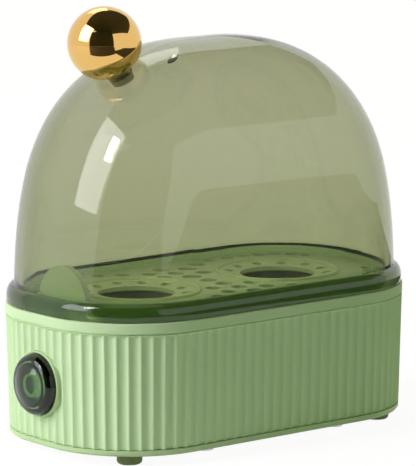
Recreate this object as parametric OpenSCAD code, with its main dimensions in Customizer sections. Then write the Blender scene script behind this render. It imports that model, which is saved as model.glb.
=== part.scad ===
// Egg cooker for two eggs: fluted housing with a heated water dish, a lift-out
// rack and a smoked lid with a ball knob. Millimetres, +Z up. The origin is on
// the table under the middle of the housing, and the button is on the -X end.

/* [Housing] */
// Length of the housing over its flutes
body_l = 122; // [110:1:150]
// Width of the housing over its flutes
body_w = 70; // [66:1:84]
// Radius of the housing's corners, seen from above
corner_r = 29.5; // [26:0.5:32]
// Height of the rim that the lid stands on, above the table
rim_z = 40.7; // [39:0.1:58]
// Thickness of the housing wall at the rim
wall = 2.6; // [2.2:0.1:3.4]
// Thickness of the deck that the dish hangs in
deck_t = 2.2; // [1.8:0.1:3]
// Number of flutes in each quarter of the housing
quarter_flutes = 24; // [16:1:28]
// Depth of a flute
flute_depth = 0.7; // [0.3:0.1:1]
// Width of the land between two flutes
flute_land = 0.35; // [0.25:0.05:1]
// Height of the smooth band under the rim
band_h = 3; // [1.5:0.1:6]
// Width of the shadow groove under the band
groove_w = 0.4; // [0.2:0.1:1]

/* [Base] */
// Height of the feet under the bottom cover
foot_h = 3.1; // [2:0.1:5]
// Radius of a foot
foot_r = 3.6; // [3:0.1:4.5]
// Thickness of the bottom cover
cover_t = 1.6; // [1.4:0.1:2.4]
// Thickness of the upright lip on the bottom cover
lip_t = 1.4; // [1:0.1:2]
// Height of that lip
lip_h = 3.5; // [2:0.1:5]
// Feet in from the ends of the housing
foot_in_x = 15; // [14:0.5:20]
// Feet in from the long sides of the housing
foot_in_y = 12.5; // [12:0.5:17]
// Cover screws from the middle, along the length
post_x = 24; // [16:0.5:28]
// Radius of the posts that the cover screws go into
post_r = 2.6; // [2.3:0.1:2.9]
// Radius of the thread of every small screw
screw_r = 1.2; // [1:0.05:1.5]
// Number of vent slots in each row of the bottom cover
vent_count = 7; // [3:1:9]

/* [Water dish and heater] */
// Width of the deck around the dish opening
deck_w = 10; // [9:0.25:11]
// Thickness of the seal under the dish
seal_t = 0.6; // [0.4:0.1:0.8]
// Thickness of the dish flange
flange_t = 0.8; // [0.6:0.1:1.2]
// Thickness of the dish wall
dish_t = 0.8; // [0.6:0.1:1.2]
// Depth of the dish below its flange
dish_depth = 8.6; // [6:0.1:10]
// Length of the heater plate
plate_l = 72; // [60:1:80]
// Width of the heater plate
plate_w = 40; // [34:1:44]
// Thickness of the heater plate
plate_t = 5; // [4:0.1:6]
// Radius of the element tube
tube_r = 3.2; // [2.8:0.1:3.4]
// Radius of the bend of the element, to the middle of its tube
bend_r = 15.5; // [15:0.5:16]
// Radius of the thermostat body
thermostat_r = 7.2; // [6:0.1:7.5]
// Gap between the heater plate and the heat shield
shield_gap = 6.4; // [5:0.1:8]
// Thickness of the heat shield
shield_t = 0.8; // [0.5:0.1:1]

/* [Power button] */
// Height of the button above the table
button_z = 20.8; // [18.5:0.1:22.5]
// Radius of the button cap
button_r = 8.7; // [7:0.1:9]
// Radius of the front of the cap, inside its rounded shoulder
button_face_r = 6.4; // [5:0.1:7]
// Depth of that shoulder
button_shoulder = 2.5; // [2:0.1:4]
// How far the button stands out of the housing
button_out = 4.8; // [3:0.1:7]
// How far the button travels
button_travel = 1.6; // [1:0.1:1.9]
// Radial clearance of the button in its guide
button_fit = 0.06; // [0.03:0.01:0.1]
// Radius of the button stem
stem_r = 2.2; // [1.8:0.1:2.6]
// Side of the square switch body
switch_side = 14; // [12:0.5:15]
// Length of the switch body
switch_l = 13.5; // [11:0.5:14]

/* [Cord outlet] */
// Height of the cord outlet above the table
bush_z = 13; // [12.5:0.1:16]
// Radius of the bore for the flex
flex_r = 3.2; // [2.6:0.1:3.6]
// Radius of the bush body in the wall
bush_r = 5; // [4.6:0.1:6]
// How far the bush stands out of the housing
bush_out = 5; // [3:0.1:7]

/* [Egg rack] */
// Clearance between the rack's edge and the lid
rack_fit = 0.8; // [0.6:0.1:1.2]
// Height of the rack's top above the rim
rack_up = 2.8; // [2.4:0.1:4]
// Thickness of the rack
rack_t = 1.6; // [1.2:0.1:2]
// Egg seats from the middle, along the length
seat_x = 26; // [24:0.5:27]
// Radius of the opening that an egg stands in
seat_hole_r = 11; // [9:0.5:12]
// Radius of the dished seat around the opening
seat_r = 17; // [15:0.5:18]
// Radius of the half-round lifting tab
tab_r = 10.5; // [7:0.5:11]
// Thickness of the lifting tab
tab_t = 1.8; // [1.2:0.1:2.4]
// How far in from the rack's end the tab stands
tab_in = 4.5; // [2:0.1:6]

/* [Lid] */
// Thickness of the lid wall
lid_t = 2; // [1.5:0.1:2.4]
// Step from the housing's face in to the lid wall
lid_step = 2.4; // [2:0.1:3]
// Height of the flared foot of the lid
flare_h = 5.2; // [3:0.1:8]
// Height of the top of the lid above the table
lid_top = 114.5; // [111:0.5:128]
// Height where the long sides start to curve in
shoulder_z = 75.5; // [69:0.5:87]
// Squareness of the arch, seen from the front
arch_power = 2.6; // [2:0.1:3]
// Squareness of the top, seen from the end
crown_power = 2; // [1.6:0.05:2.4]
// Radius of the steam hole
steam_r = 1.5; // [1:0.1:3]

/* [Knob] */
// Radius of the ball knob
ball_r = 10.5; // [8:0.1:12]
// Height of the collar under the ball
collar_h = 0.8; // [0.6:0.1:2]
// Radius of the collar
collar_r = 5.4; // [4.5:0.1:6]
// How far in from the button's end the knob's foot stands on the lid
knob_in = 28.6; // [25:0.1:35]
// How much of the ball is cut off flat at its foot
ball_flat = 3; // [1:0.1:4]

/* [Hidden] */
$fn = 48;

// Free room between pieces that are pushed together, and a thin overlap for cuts
push_fit = 0.05;
cut = 1;

green = "#b9d3a4";
dark_green = "#86a072";
steel = "#c9cccb";
smoke = "#59634c";

// Levels, from the table up
cover_z = foot_h;
body_z = cover_z + cover_t;
deck_z = rim_z - deck_t;
recess_z = rim_z - 1;
flange_z = recess_z + seal_t;
rack_z = flange_z + flange_t;
rack_top_z = rim_z + rack_up;
dish_z = rack_z - dish_depth;
plate_z = dish_z - plate_t;
shield_z = plate_z - shield_gap;

// Steps in from the housing's face
lid_in = 0.3;
lid_inner = lid_step + lid_t;
recess_in = lid_inner + 0.5;
cover_in = 0.9;
rack_in = lid_inner + rack_fit;
dish_in = deck_w + 0.3;

flute_top_z = rim_z - band_h - groove_w;

// Posts under the deck stand against the long walls
post_y = body_w / 2 - wall - post_r - 1;

// Half length of the housing, inside
room_x = body_l / 2 - wall;

foot_x = body_l / 2 - foot_in_x;
foot_y = body_w / 2 - foot_in_y;

// Two or four copies, mirrored about the middle
module both_x() for (s = [0, 1]) mirror([s, 0, 0]) children();
module both_y() for (s = [0, 1]) mirror([0, s, 0]) children();
module four() both_x() both_y() children();

// Rounded rectangle whose edge lies `inset` inside the housing's face
module outline(inset)
    rounded(body_l - 2 * inset, body_w - 2 * inset, corner_r - inset);

module rounded(l, w, r) {
    square([l - 2 * r, w], center = true);
    square([l, w - 2 * r], center = true);
    for (sx = [-1, 1], sy = [-1, 1])
        translate([sx * (l / 2 - r), sy * (w / 2 - r)]) circle(r, $fn = 96);
}

module slab(inset, z, h) translate([0, 0, z]) linear_extrude(h) outline(inset);

// A point on one quarter of the outline, `s` along it from the middle of the
// +X end, as [x, y, direction outwards]
side_y = body_w / 2 - corner_r;
side_x = body_l / 2 - corner_r;
quarter_l = side_y + corner_r * PI / 2 + side_x;
function edge_point(s) =
    s < side_y ? [body_l / 2, s, 0] :
    s < quarter_l - side_x ?
        let (a = (s - side_y) / corner_r * 180 / PI)
        [side_x + corner_r * cos(a), side_y + corner_r * sin(a), a] :
    [quarter_l - s, body_w / 2, 90];

// Cut for one flute: an arc of the flute's depth that leaves a narrow land
flute_pitch = quarter_l / quarter_flutes;
flute_r = (pow((flute_pitch - flute_land) / 2, 2) + pow(flute_depth, 2)) / (2 * flute_depth);
module flute_cuts()
    four() for (i = [0 : quarter_flutes - 1]) {
        p = edge_point((i + 0.5) * flute_pitch);
        out = flute_r - flute_depth;
        translate([p[0] + out * cos(p[2]), p[1] + out * sin(p[2])]) circle(flute_r, $fn = 32);
    }

// Things on the button's axis: their own +Z points out of the -X end, and their
// height is counted from the middle of the housing
module at_button() translate([0, 0, button_z]) rotate([0, -90, 0]) children();
face_h = body_l / 2;
guide_t = 0.7;
guide_r = button_r + button_fit + guide_t;
guide_flange_r = guide_r + 1.2;
guide_in_h = room_x - 1.5;
catch_t = 1.1;
catch_top_h = guide_in_h - 0.3;
bracket_t = 1.2;
bracket_top_h = catch_top_h - catch_t - button_travel - 0.5;
boss_y = guide_flange_r + 3.2;
boss_r = 2.6;

module ring(r_out, r_in, h) difference() {
    cylinder(r = r_out, h = h);
    translate([0, 0, -cut]) cylinder(r = r_in, h = h + 2 * cut);
}

module screw(head_r, head_h, l) {
    cylinder(r = head_r, h = head_h);
    cylinder(r = screw_r, h = head_h + l);
}

// ---- housing and base ----

module housing() color(green) {
    difference() {
        union() {
            difference() {
                union() {
                    slab(0, rim_z - band_h, band_h);
                    slab(flute_depth + 0.1, flute_top_z - cut, groove_w + 2 * cut);
                    translate([0, 0, body_z])
                        linear_extrude(flute_top_z - body_z) difference() {
                            outline(0);
                            flute_cuts();
                        }
                }
                slab(wall, body_z - cut, deck_z - body_z + cut);
                slab(deck_w, body_z, rim_z);
                slab(recess_in, recess_z, deck_t);
            }
            // posts for the cover screws, each with a web to the wall
            four() {
                translate([post_x, post_y, body_z]) cylinder(r = post_r, h = deck_z - body_z + 0.5);
                translate([post_x - 0.8, post_y, body_z + lip_h + 0.5])
                    cube([1.6, post_r + 2, deck_z - body_z - lip_h]);
            }
            // bosses for the switch bracket
            both_y() at_button() translate([0, boss_y, bracket_top_h])
                cylinder(r = boss_r, h = room_x - 0.5 - bracket_top_h);
        }
        four() translate([post_x, post_y, body_z - cut]) cylinder(r = screw_r + push_fit, h = 12);
        four() translate([post_x, post_y, cover_z]) cylinder(r = post_r + 0.5, h = cover_t + 0.4);
        both_y() at_button() translate([0, boss_y, bracket_top_h - cut])
            cylinder(r = screw_r + push_fit, h = 4 + cut);
        at_button() translate([0, 0, guide_in_h]) cylinder(r = guide_r + push_fit, h = 10);
        translate([room_x - 3, 0, bush_z]) rotate([0, 90, 0])
            cylinder(r = bush_r + push_fit, h = 10);
    }
}

module bottom_cover() color(dark_green) difference() {
    union() {
        slab(cover_in + 0.4, cover_z, 0.5);
        slab(cover_in, cover_z + 0.5, cover_t - 0.5);
        difference() {
            slab(wall + 0.1, cover_z, cover_t + lip_h);
            slab(wall + 0.1 + lip_t, body_z, lip_h + cut);
        }
        // rests for the cord clamp and the terminal block
        both_y() translate([clamp_x, clamp_y, body_z]) cylinder(r = 2.4, h = clamp_z - body_z);
        both_y() translate([block_x, block_y, body_z]) cylinder(r = 2.4, h = block_z - body_z);
    }
    four() translate([foot_x, foot_y, cover_z - cut]) cylinder(r = foot_pin_r + push_fit, h = 6);
    four() translate([post_x, post_y, cover_z - cut]) cylinder(r = screw_r + 0.3, h = 9);
    four() translate([post_x, post_y, body_z]) cylinder(r = post_r + 0.4, h = lip_h + cut);
    both_y() translate([clamp_x, clamp_y, body_z]) cylinder(r = screw_r + push_fit, h = 20);
    both_y() translate([block_x, block_y, body_z]) cylinder(r = screw_r + push_fit, h = 20);
    // room for the bush, the guide and the bosses in the upright lip
    translate([room_x - 6, 0, bush_z]) rotate([0, 90, 0]) cylinder(r = bush_r + 1.8, h = 10);
    // vent slots
    for (row = [-1, 1], i = [0 : vent_count - 1])
        translate([(i - (vent_count - 1) / 2) * 5, row * 8, cover_z - cut]) {
            translate([-1, -4, 0]) cube([2, 8, 4]);
            for (e = [-4, 4]) translate([0, e, 0]) cylinder(r = 1, h = 4);
        }
}

foot_pin_r = 1.8;
module feet() color("#4c4f46") four() translate([foot_x, foot_y, 0]) {
    rotate_extrude() polygon([[0, 0], [foot_r - 0.6, 0], [foot_r - 0.2, 0.3], [foot_r, 0.9],
                              [foot_r, foot_h], [0, foot_h]]);
    cylinder(r = foot_pin_r, h = foot_h + cover_t + 0.2);
    translate([0, 0, foot_h + cover_t + 0.05]) cylinder(r1 = foot_pin_r + 0.7, r2 = 1.2, h = 1.2);
}

module cover_screws() color(steel)
    four() translate([post_x, post_y, cover_z - 1.2]) screw(2.4, 1.2, 9);

// ---- water dish and heater ----

module heating_dish() color(steel) difference() {
    union() {
        slab(recess_in + 0.4, flange_z, flange_t);
        slab(dish_in, dish_z, dish_depth);
    }
    slab(dish_in + dish_t, dish_z + dish_t, dish_depth);
}

module dish_seal() color("#d8d8d0") difference() {
    slab(recess_in + 0.6, recess_z, seal_t);
    slab(deck_w + 0.2, recess_z - cut, seal_t + 2 * cut);
}

// The U of the element, with its middle at the heater plate's underside
bend_x = plate_l / 2 - bend_r - tube_r - 2.5;
leg_end_x = plate_l / 2 + 2;
module element_path(r) {
    both_y() translate([-bend_x, bend_r, 0]) rotate([0, 90, 0])
        cylinder(r = r, h = bend_x + leg_end_x);
    translate([-bend_x, 0, 0]) rotate([0, 0, 90]) rotate_extrude(angle = 180)
        translate([bend_r, 0]) circle(r, $fn = 32);
}

// Screws of the heat shield, the thermostat's ears, the fuse and the earth, on the plate
shield_screw_in = 4.6;
shield_screws_at = [[tube_r + shield_screw_in - bend_x - bend_r, 0], [plate_l / 2 - 7, 7]];
ear_x = thermostat_r + 3.4;
fuse_x = thermostat_r + 10.2;
clip_screw_x = fuse_x + 6.2;
earth_x = shield_screws_at[0][0] + 6;
earth_y = -7.5;
module plate_hole(p) translate([p[0], p[1], plate_z - cut])
    cylinder(r = screw_r + push_fit, h = 4);
plate_corner_r = 4;
module heater_plate() color("#b8babb") difference() {
    translate([0, 0, plate_z]) linear_extrude(plate_t) rounded(plate_l, plate_w, plate_corner_r);
    translate([0, 0, plate_z]) element_path(tube_r + push_fit);
    for (p = shield_screws_at) plate_hole(p);
    for (x = [-ear_x, ear_x, clip_screw_x]) plate_hole([x, 0]);
    plate_hole([earth_x, earth_y]);
}

module heater_element() color("#8f8a80") translate([0, 0, plate_z]) element_path(tube_r);

// Each pin ends in a flat tag that a lead is welded under
pin_l = 4.4;
tag_l = 6;
tag_from = pin_l - 1.6;
module heater_pins() color(steel) both_y() translate([leg_end_x, bend_r, plate_z]) {
    rotate([0, 90, 0]) cylinder(r = 1.1, h = pin_l);
    translate([tag_from, -2.4, -0.4]) cube([tag_l, 4.8, 0.8]);
}

shield_l = plate_l - 6;
shield_w = plate_w - 4;
module heat_shield() color("#a8acac") difference() {
    translate([0, 0, shield_z]) linear_extrude(shield_t)
        rounded(shield_l, shield_w, plate_corner_r);
    translate([0, 0, shield_z - cut]) cylinder(r = thermostat_r + 4.5, h = 3);
    both_x() translate([ear_x + 0.8, 0, shield_z - cut]) cylinder(r = 3, h = 3);
    translate([earth_x, earth_y, shield_z - cut]) cylinder(r = lead_r + 1, h = 3);
    for (p = shield_screws_at) translate([p[0], p[1], shield_z - cut])
        cylinder(r = screw_r + 0.2, h = 3);
    both_x() both_y() for (i = [0 : 2])
        translate([12 + 5 * i, 11, shield_z - cut]) cylinder(r = 1.2, h = 3);
}

module shield_spacers() color(steel) for (p = shield_screws_at)
    translate([p[0], p[1], shield_z + shield_t]) ring(2.4, screw_r + 0.2, shield_gap - shield_t);

module shield_screws() color(steel) for (p = shield_screws_at)
    translate([p[0], p[1], shield_z - 1.4]) screw(2.3, 1.4, shield_gap + 2.5);

module thermostat() color("#2e2c2a") difference() {
    union() {
        translate([0, 0, plate_z - 3]) cylinder(r = thermostat_r, h = 3);
        translate([-ear_x, -2.6, plate_z - 1]) cube([2 * ear_x, 5.2, 1]);
        both_x() translate([ear_x, 0, plate_z - 1]) cylinder(r = 2.6, h = 1);
        translate([0, 0, plate_z - 9]) cylinder(r = thermostat_r - 1, h = 6.5);
        both_y() translate([-0.4, 2.2, plate_z - 15]) cube([0.8, 4, 6.5]);
    }
    both_x() translate([ear_x, 0, plate_z - 3]) cylinder(r = screw_r + 0.2, h = 5);
}

module thermostat_screws() color(steel) both_x()
    translate([ear_x, 0, plate_z - 1 - 1.2]) screw(2, 1.2, 3.6);

fuse_r = 2;
module thermal_fuse() color("#e6e2d2") translate([fuse_x, 0, plate_z - fuse_r - 0.1])
    rotate([90, 0, 0]) {
        cylinder(r = fuse_r, h = 20, center = true);
        cylinder(r = 0.5, h = 23, center = true);
    }

module fuse_clip() color(steel) translate([fuse_x, 0, plate_z]) difference() {
    union() {
        translate([0, 3, -fuse_r - 0.1]) rotate([90, 0, 0]) cylinder(r = fuse_r + 0.7, h = 6);
        translate([0, -3, -0.9]) cube([8.6, 6, 0.75]);
        translate([clip_screw_x - fuse_x, 0, -2.1]) cylinder(r = 2, h = 1.2);
        translate([clip_screw_x - fuse_x, 0, -2]) cylinder(r = screw_r, h = 4.5);
    }
    translate([0, 4, -fuse_r - 0.1]) rotate([90, 0, 0]) cylinder(r = fuse_r + push_fit, h = 8);
    translate([-5, -4, -0.2]) cube([8.5, 8, 5]);
}

// ---- power button and switch ----

cap_h = face_h + button_out;
cap_roof_h = cap_h - 3.2;
cap_in_r = button_r - 2.2;
face_dome = 1.6;
function shoulder_point(a) = [
    button_face_r + (button_r - button_face_r) * cos(a),
    cap_h - face_dome - button_shoulder * (1 - sin(a))];
module power_button() color(smoke) at_button() rotate_extrude(convexity = 6) polygon(concat(
    [[cap_in_r, catch_top_h - catch_t], [guide_r + 0.3, catch_top_h - catch_t],
     [guide_r + 0.3, catch_top_h], [button_r, catch_top_h]],
    [for (a = [0 : 18 : 72]) shoulder_point(a)],
    [for (i = [0 : 5]) let (r = button_face_r * (1 - i / 6))
        [r, cap_h - face_dome * pow(r / button_face_r, 2)]],
    [[0, cap_h], [0, cap_roof_h], [cap_in_r, cap_roof_h]]));

disc_t = 1.2;
disc_h = cap_roof_h - 0.4 - disc_t;
stem_end_h = bracket_top_h - bracket_t - 2.4;
module button_stem() color("#33382c") at_button() {
    translate([0, 0, disc_h]) cylinder(r = cap_in_r - push_fit, h = disc_t);
    translate([0, 0, stem_end_h]) cylinder(r = stem_r, h = disc_h - stem_end_h + 0.5);
}

// Egg-shaped ring, blunt end down
module egg_shape(r) {
    circle(r);
    intersection() {
        scale([1, 1.45]) circle(r);
        translate([-2 * r, 0]) square([4 * r, 2 * r]);
    }
}
mark_r = 2.4;
mark_line = 0.45;
module button_mark() color("#9dc07f") at_button() translate([0, 0, disc_h + disc_t])
    rotate([0, 0, 90]) translate([0, -0.5, 0]) linear_extrude(0.35) difference() {
        egg_shape(mark_r);
        egg_shape(mark_r - mark_line);
    }

module button_guide() color(dark_green) at_button() difference() {
    union() {
        translate([0, 0, guide_in_h]) cylinder(r = guide_r, h = face_h + 0.4 - guide_in_h);
        translate([0, 0, guide_in_h]) cylinder(r = guide_flange_r, h = room_x - 0.6 - guide_in_h);
    }
    translate([0, 0, guide_in_h - cut]) cylinder(r = button_r + button_fit, h = 10);
}

switch_end_h = bracket_top_h - bracket_t - switch_l;
module switch_body() color("#23262b") at_button() difference() {
    translate([-switch_side / 2, -switch_side / 2, switch_end_h])
        cube([switch_side, switch_side, switch_l]);
    translate([0, 0, stem_end_h - button_travel - 0.6]) cylinder(r = stem_r + 0.08, h = 10);
}

module switch_bracket() color(steel) at_button() difference() {
    translate([-switch_side / 2, -boss_y - 3.4, bracket_top_h - bracket_t])
        cube([switch_side, 2 * boss_y + 6.8, bracket_t]);
    translate([0, 0, bracket_top_h - 4]) cylinder(r = stem_r + 0.5, h = 8);
    both_y() translate([0, boss_y, bracket_top_h - 4]) cylinder(r = screw_r + 0.2, h = 8);
}

module bracket_screws() color(steel) at_button() both_y()
    translate([0, boss_y, bracket_top_h - bracket_t - 1.4]) screw(2.2, 1.4, 4.4);

lamp_y = (stem_r + cap_in_r) / 2;
module pilot_lamp() color("#e9ead6") at_button() translate([0, lamp_y, bracket_top_h]) {
    cylinder(r = 1.6, h = 1);
    cylinder(r = 1.25, h = 3);
    translate([0, 0, 3]) sphere(1.25);
}

// ---- wiring and cord outlet ----

clamp_x = room_x - 7.5;
clamp_y = flex_r + 3.4;
clamp_z = bush_z - 0.5;
clamp_l = 4.8;
block_l = 10;
block_w = 30;
block_x = clamp_x - clamp_l / 2 - 7.5 - block_l / 2;
block_y = block_w / 2 - 3;
block_z = body_z + 2.2;
module terminal_block() color("#e8e6dc") difference() {
    translate([block_x - block_l / 2, -block_w / 2, block_z]) cube([block_l, block_w, 8]);
    for (y = pole_ys) translate([block_x - block_l, y, block_z + 4.5]) rotate([0, 90, 0])
        cylinder(r = lead_r + 0.4, h = 2 * block_l);
    for (y = pole_ys) translate([block_x, y, block_z + 4.5]) cylinder(r = 1.7, h = 5);
    both_y() translate([block_x, block_y, block_z - cut]) cylinder(r = screw_r + 0.2, h = 12);
}
pole_ys = [-7, 0, 7];

module terminal_screws() color(steel) {
    for (y = pole_ys) translate([block_x, y, block_z + 4.5 + lead_r + 0.1])
        cylinder(r = 1.6, h = 2.6 - lead_r);
    both_y() translate([block_x, block_y, block_z + 8]) mirror([0, 0, 1])
        translate([0, 0, -1.2]) screw(2.2, 1.2, 9.4);
}

// A lead: a round tube swept along a smooth curve through the given points
lead_r = 0.9;
lead_sides = 8;
lead_steps = 3;
function curve_at(p, i, t) =
    let (a = p[max(i - 1, 0)], b = p[i], c = p[i + 1], d = p[min(i + 2, len(p) - 1)])
    b + 0.5 * t * (c - a + t * (2 * a - 5 * b + 4 * c - d + t * (3 * b - a - 3 * c + d)));
function curve(p) = [
    for (i = [0 : len(p) - 2], k = [0 : lead_steps - 1]) curve_at(p, i, k / lead_steps),
    p[len(p) - 1]];
function unit(v) = v / norm(v);
lead_up = unit([0.31, 0.9, 0.17]);
module lead(points) {
    c = curve(points);
    n = len(c);
    rings = [for (i = [0 : n - 1])
        let (t = unit(c[min(i + 1, n - 1)] - c[max(i - 1, 0)]),
             u = unit(cross(lead_up, t)),
             v = cross(t, u))
        for (k = [0 : lead_sides - 1])
            c[i] + lead_r * (u * cos(360 * k / lead_sides) + v * sin(360 * k / lead_sides))];
    polyhedron(
        points = rings,
        faces = concat(
            [for (i = [0 : n - 2], k = [0 : lead_sides - 1])
                let (a = i * lead_sides, b = a + lead_sides, k2 = (k + 1) % lead_sides)
                each [[a + k, b + k, b + k2], [a + k, b + k2, a + k2]]],
            [[for (k = [0 : lead_sides - 1]) k]],
            [[for (k = [lead_sides - 1 : -1 : 0]) (n - 1) * lead_sides + k]]));
}

pole_z = block_z + 4.5;
low_z = body_z + 3;
blade_z = plate_z - 15.2 - lead_r;
fuse_z = plate_z - fuse_r - 0.1;
gap_z = plate_z - tube_r - 1.3;
pin_x = leg_end_x + tag_from + 0.7 * tag_l;
switch_x = -switch_end_h + 0.3;
switch_lead_z = button_z - 3;
module lead_live() color("#7a4a2a") lead([
    [block_x - 1, pole_ys[2], pole_z], [block_x - 9, pole_ys[2], pole_z],
    [block_x - 16, 9, low_z], [-20, 8, low_z], [switch_x + 5, 3, switch_lead_z],
    [switch_x + 1.5, 3, switch_lead_z], [switch_x, 3, switch_lead_z]]);
module lead_switched() color("#20242a") lead([
    [switch_x, -3, switch_lead_z], [switch_x + 1.5, -3, switch_lead_z],
    [switch_x + 6, -3, switch_lead_z - 1], [-16, 3, low_z + 2], [-6, 4.2, low_z + 1],
    [0, 4.2, blade_z - 2], [0, 4.2, blade_z]]);
// From the thermostat to the fuse, and from the fuse to the element
module lead_fuse() color("#d8d4c4") {
    lead([[0, -4.2, blade_z], [0.6, -4.6, blade_z - 2], [5, -6, blade_z],
          [6.3, -6.8, shield_z - 3], [6.8, -7.2, gap_z], [12, -11, gap_z],
          [fuse_x, -12.6, fuse_z - 0.6], [fuse_x, -11.6 - lead_r, fuse_z - 0.2]]);
    lead([[fuse_x + 0.3, 11.7 + lead_r, fuse_z - 0.2], [fuse_x + 3, 12, gap_z],
          [pin_x - 13, 13, gap_z], [pin_x - 7, bend_r - 0.5, gap_z - 1],
          [pin_x, bend_r, plate_z - 4],
          [pin_x, bend_r, plate_z - 0.5 - lead_r]]);
}
module lead_neutral() color("#3f6a92") lead([
    [block_x + 1, pole_ys[0], pole_z], [block_x + 8, pole_ys[0] - 1, pole_z],
    [pin_x + 1, -bend_r, pole_z + 6], [pin_x, -bend_r, plate_z - 4],
    [pin_x, -bend_r, plate_z - 0.5 - lead_r]]);
module lead_earth() color("#7fa03c") lead([
    [block_x - 1, 0, pole_z], [block_x - 8, 0, pole_z], [block_x - 22, -1.5, low_z],
    [-8, -3, low_z], [earth_x, earth_y, low_z + 5], [earth_x, earth_y, plate_z - 3],
    [earth_x, earth_y, plate_z + 2]]);

// The bush has a groove for the wall, a flared collar and a tapered nose
bush_in_x = room_x - 3;
module cord_bush() color("#4f5a45") translate([0, 0, bush_z]) rotate([0, 90, 0]) difference() {
    union() {
        translate([0, 0, bush_in_x]) cylinder(r = bush_r + 1.4, h = 2.8);
        translate([0, 0, bush_in_x]) cylinder(r = bush_r, h = body_l / 2 - bush_in_x + 0.5);
        translate([0, 0, body_l / 2 + 0.15]) cylinder(r = bush_r + 1.2, h = 1.2);
        translate([0, 0, body_l / 2 + 1.35])
            cylinder(r1 = bush_r + 0.6, r2 = flex_r + 1, h = bush_out - 1.35);
    }
    translate([0, 0, bush_in_x - cut]) cylinder(r = flex_r, h = 20);
}

module cord_clamp() color(green) difference() {
    translate([clamp_x - clamp_l / 2, -clamp_y - 2.4, clamp_z])
        cube([clamp_l, 2 * clamp_y + 4.8, flex_r + 2.2]);
    translate([clamp_x - 5, 0, bush_z]) rotate([0, 90, 0]) cylinder(r = flex_r, h = 10);
    translate([clamp_x - 5, -flex_r, clamp_z - cut]) cube([10, 2 * flex_r, bush_z - clamp_z + cut]);
    both_y() translate([clamp_x, clamp_y, clamp_z - cut]) cylinder(r = screw_r + 0.2, h = 12);
}

module clamp_screws() color(steel) both_y()
    translate([clamp_x, clamp_y, clamp_z + flex_r + 2.2]) mirror([0, 0, 1])
        translate([0, 0, -1.2]) screw(2.1, 1.2, 11);

// ---- rack ----

tab_x = body_l / 2 - rack_in - tab_in - tab_t;
bead_r = 0.7;
hole_gap = 9.6;
module seat_profile() polygon([
    [seat_hole_r, rack_z + 0.4], [seat_hole_r + 1, rack_z], [seat_r + 1.4, rack_top_z - rack_t - 0.2],
    [seat_r + 1.4, rack_top_z], [seat_r, rack_top_z], [seat_hole_r, rack_z + 1.6]]);

module egg_rack() color(green) {
    difference() {
        union() {
            difference() {
                slab(rack_in, rack_z, rack_top_z - rack_z);
                slab(rack_in + 1.4, rack_z - cut, rack_top_z - rack_z - rack_t + cut);
            }
            translate([-tab_x - tab_t, 0, rack_top_z - 0.8]) rotate([0, 90, 0])
                difference() {
                    cylinder(r = tab_r, h = tab_t);
                    translate([0, -tab_r - cut, -cut])
                        cube([tab_r + cut, 2 * (tab_r + cut), tab_t + 2 * cut]);
                }
        }
        both_x() translate([seat_x, 0, 0]) cylinder(r = seat_r + 1.3, h = rack_top_z + cut);
        // holes between the seats and along the edge let the steam through
        for (j = [-3 : 3]) steam_hole(0, 7 * j, 2.6);
        four() for (j = [0 : 1]) steam_hole(7, 10.8 + 7 * j, 2.4);
        steam_hole_pair(14, 22, 2.4);
        four() for (i = [0 : 6]) {
            p = edge_point(side_y + corner_r * PI / 2 * 0.28 + i * 7.4);
            steam_hole(p[0] - hole_gap * cos(p[2]), p[1] - hole_gap * sin(p[2]), 2);
        }
    }
    both_x() translate([seat_x, 0, 0]) difference() {
        union() {
            rotate_extrude($fn = 72) seat_profile();
            translate([0, 0, rack_top_z]) rotate_extrude($fn = 72)
                translate([seat_r + 1.4 - bead_r, 0]) circle(bead_r, $fn = 24);
        }
        for (a = [15 : 30 : 345])
            rotate(a) translate([(seat_hole_r + seat_r) / 2 + 0.3, 0, 0])
                cylinder(r = 1.5, h = rack_top_z + cut);
    }
}
module steam_hole(x, y, r) translate([x, y, rack_top_z - rack_t - cut])
    cylinder(r = r, h = rack_t + 2 * cut, $fn = 24);
module steam_hole_pair(x, y, r) four() steam_hole(x, y, r);

// ---- lid ----

// Half length and half width of the lid at a height z, for a wall offset t
// inwards: an arch seen from the front, a rounded crown seen from the end
arch_x = body_l / 2 - lid_step;
crown_y = body_w / 2 - lid_step;
ridge_x = 1.2;
foot_z = rim_z + flare_h;
arch_z = rim_z - 5.5;
function bow(u, power) = pow(max(0, 1 - pow(u, power)), 1 / power);
function lid_x(z, t) = ridge_x + (arch_x - t - ridge_x)
    * bow(max(0, z - arch_z) / (lid_top - t - arch_z), arch_power);
function lid_y(z, t) = (crown_y - t)
    * bow(max(0, z - shoulder_z) / (lid_top - t - shoulder_z), crown_power);

// Points around a rounded rectangle of half sizes a and b
corner_steps = 12;
function loop_points(a, b, r, z) = [
    for (q = [0 : 3], i = [0 : corner_steps])
        let (ang = 90 * (q + i / corner_steps),
             sx = (q == 0 || q == 3) ? 1 : -1,
             sy = q < 2 ? 1 : -1)
        [sx * (a - r) + r * cos(ang), sy * (b - r) + r * sin(ang), z]];
function dome_loop(z, t) =
    let (a = lid_x(z, t), b = lid_y(z, t))
    loop_points(a, b, min(a, b) * (corner_r - lid_step) / crown_y, z);
function flare_loop(inset, z) =
    loop_points(body_l / 2 - inset, body_w / 2 - inset, corner_r - inset, z);

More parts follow.
